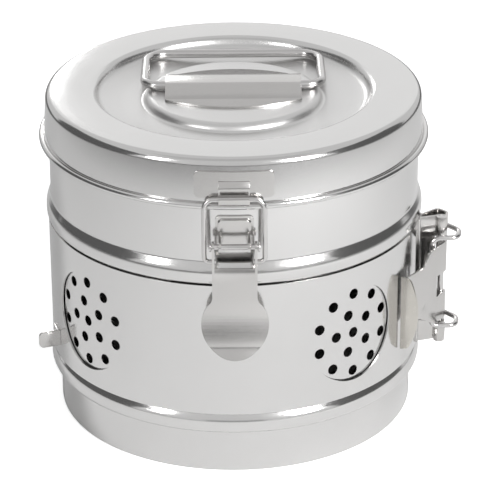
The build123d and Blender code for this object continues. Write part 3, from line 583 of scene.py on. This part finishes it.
def slice_across(bm, axis, start, end, steps):
    """Cuts the faces into strips by planes across an axis, from start to end in millimetres."""
    for i in range(steps + 1):
        place = (start + (end - start) * i / steps) * MM
        bmesh.ops.bisect_plane(bm, geom=[*bm.verts, *bm.edges, *bm.faces], dist=MERGE, plane_co=axis * place,
                               plane_no=axis)


def dished_paddle(bm):
    """Curves the lever's web from its shoulder to the tip of its lip, like a shoehorn."""
    low, high = PADDLE_SPAN
    slice_across(bm, UP, low, high, 28)
    for vert in bm.verts:
        share = (vert.co.z / MM - low) / (high - low)
        if 0 < share < 1:
            push = 16 * PADDLE_HOLLOW * MM * (share * (1 - share)) ** 2
            bmesh.ops.translate(bm, vec=(0, push, 0), verts=[vert])


def arched_channel(bm):
    """Swells both flanks of the channel that holds the handle's bar, so that it looks rolled, not folded."""
    inner, outer = CHANNEL_SPAN
    for side in (-1, 1):
        slice_across(bm, Vector((0, 1, 0)), HANDLE_Y + side * inner, HANDLE_Y + side * outer, 10)
    for vert in bm.verts:
        share = (abs(vert.co.y / MM - HANDLE_Y) - inner) / (outer - inner)
        if 0 < share < 1:
            bmesh.ops.translate(bm, vec=(0, 0, 4 * CHANNEL_SWELL * MM * share * (1 - share)), verts=[vert])


make_drum_shell()
make_drum_bottom()
make_vent_band()
make_lid_shell()
make_lid_rim()
make_handle()
make_bail()
make_link()
for node_name in ("latch_base", "hinge_drum_leaf", "band_tab", "clamp_base", "clamp_catch", "clamp_lever",
                  "clamp_sleeves", "lid_keeper", "hinge_lid_leaf"):
    pressed(node_name, "bracket_steel")
pressed("handle_retainer", "bracket_steel", shape=arched_channel)
pressed("latch_lever", "bracket_steel", shape=dished_paddle)
pressed("clamp_thumb_plate", "thumb_steel")
for node_name in ("latch_pin", "hinge_pin", "clamp_pin"):
    pressed(node_name, "wire_steel", edge=0.15)


# ================================================================ floor, background and light
def ray_share(tree, camera, metal):
    """One number for rays from the camera, another for rays from metal, and 0 for the light itself."""
    rays = wire_up(tree, "ShaderNodeLightPath").outputs
    direct = math_node(tree, "MAXIMUM", rays["Is Camera Ray"], rays["Is Transmission Ray"])
    return math_node(tree, "ADD", math_node(tree, "MULTIPLY", direct, camera),
                     math_node(tree, "MULTIPLY", rays["Is Glossy Ray"], metal))


def make_floor():
    """Matt white table that the camera sees lifted to white, so that only the soft shadow stays."""
    material = empty_material("floor_white")
    tree = material.node_tree
    x, y, _ = wire_up(tree, "ShaderNodeSeparateXYZ", {0: object_place(tree)}).outputs
    far = from_axis(tree, x, y)
    paper = grey_of(tree, remap(tree, far, *TABLE_EDGE, TABLE_WHITE, TABLE_DARK))
    matt = wire_up(tree, "ShaderNodeBsdfDiffuse", {"Color": paper})
    lifted = math_node(tree, "MULTIPLY", ray_share(tree, 1.0, 0.0), remap(tree, far, *TABLE_EDGE, TABLE_LIFT, 1.0))
    lift = wire_up(tree, "ShaderNodeEmission", {"Color": (1, 1, 1, 1), "Strength": lifted})
    both = wire_up(tree, "ShaderNodeAddShader", {0: matt.outputs[0], 1: lift.outputs[0]})
    wire_up(tree, "ShaderNodeOutputMaterial", {"Surface": both.outputs[0]})
    bm = bmesh.new()
    bmesh.ops.create_grid(bm, x_segments=1, y_segments=1, size=6.0)
    floor = loose_object("floor", bm)
    floor.data.materials.append(material)


def make_world():
    """Room that the camera sees white and the metal sees as a pale grey."""
    world = bpy.data.worlds.new("studio")
    bpy.context.scene.world = world
    world.use_nodes = True
    tree = world.node_tree
    tree.nodes.clear()
    strength = math_node(tree, "ADD", ray_share(tree, 1.0 - ROOM_LIGHT, ROOM_SEEN - ROOM_LIGHT), ROOM_LIGHT)
    sky = wire_up(tree, "ShaderNodeBackground", {"Color": (1, 1, 1, 1), "Strength": strength})
    wire_up(tree, "ShaderNodeOutputWorld", {"Surface": sky.outputs[0]})


def stand(holder, azimuth, elevation, reach):
    """Stands a lamp or a card round the drum, looking at it."""
    a, e = radians(azimuth), radians(elevation)
    way = Vector((sin(a) * cos(e), -cos(a) * cos(e), sin(e)))
    holder.location = way * reach + STUDIO_MIDDLE
    holder.rotation_euler = way.to_track_quat("Z", "Y").to_euler()


def softbox(name, azimuth, elevation, reach, width, height, power, mirrored=True):
    """Soft lamp that looks at the drum."""
    lamp = bpy.data.lights.new(name, "AREA")
    lamp.shape, lamp.size, lamp.size_y, lamp.energy = "RECTANGLE", width, height, power
    holder = bpy.data.objects.new(name, lamp)
    bpy.context.scene.collection.objects.link(holder)
    stand(holder, azimuth, elevation, reach)
    holder.visible_glossy = mirrored


def card(name, azimuth, elevation, reach, width, height, grey):
    """Studio card that only the metal sees."""
    material = empty_material(name)
    tree = material.node_tree
    glow = wire_up(tree, "ShaderNodeEmission", {"Color": (1, 1, 1, 1), "Strength": grey})
    wire_up(tree, "ShaderNodeOutputMaterial", {"Surface": glow.outputs[0]})
    bm = bmesh.new()
    bmesh.ops.create_grid(bm, x_segments=1, y_segments=1, size=0.5)
    bmesh.ops.scale(bm, vec=(width, height, 1), verts=bm.verts)
    flat = loose_object(name, bm)
    flat.data.materials.append(material)
    stand(flat, azimuth, elevation, reach)
    flat.visible_camera = flat.visible_diffuse = flat.visible_shadow = False


def make_camera():
    """Stands where the photographed view was fitted: 25 degrees above the table, 1.17 m away."""
    lens = bpy.data.cameras.new("camera")
    lens.sensor_width, lens.lens, lens.shift_x = 36.0, CAMERA_LENS, CAMERA_SHIFT
    lens.clip_start, lens.clip_end = 0.05, 30.0
    camera = bpy.data.objects.new("camera", lens)
    bpy.context.scene.collection.objects.link(camera)
    back = Vector((0, -cos(CAMERA_ELEVATION), sin(CAMERA_ELEVATION)))
    camera.location = CAMERA_AIM + back * CAMERA_AWAY
    facing = (-back).to_track_quat("-Z", "Y").to_matrix()
    camera.rotation_euler = (facing @ Matrix.Rotation(CAMERA_ROLL, 3, "Z")).to_euler()
    bpy.context.scene.camera = camera


make_floor()
make_world()
# azimuth, elevation, reach, width, height, and then a lamp's power or a card's grey
softbox("softbox_left", -46, 26, 1.6, 0.22, 0.7, 4.5)
softbox("softbox_right", 42, 28, 1.6, 0.36, 0.8, 26)
softbox("softbox_top", 0, 82, 1.5, 1.2, 1.2, 8, mirrored=False)
softbox("softbox_back", -166, 19, 1.5, 0.3, 0.22, 1.1)
card("card_left", -92, 20, 1.3, 1.6, 1.2, 0.13)
card("card_right", 88, 20, 1.3, 1.4, 1.2, 0.13)
card("card_back", 180, 24, 1.5, 1.5, 0.7, 1.0)
card("card_front", 0, 2, 1.5, 0.9, 0.3, 0.42)
card("card_top", 0, 78, 1.3, 1.2, 0.7, 0.62)
make_camera()
bpy.context.scene.view_settings.view_transform = "Standard"
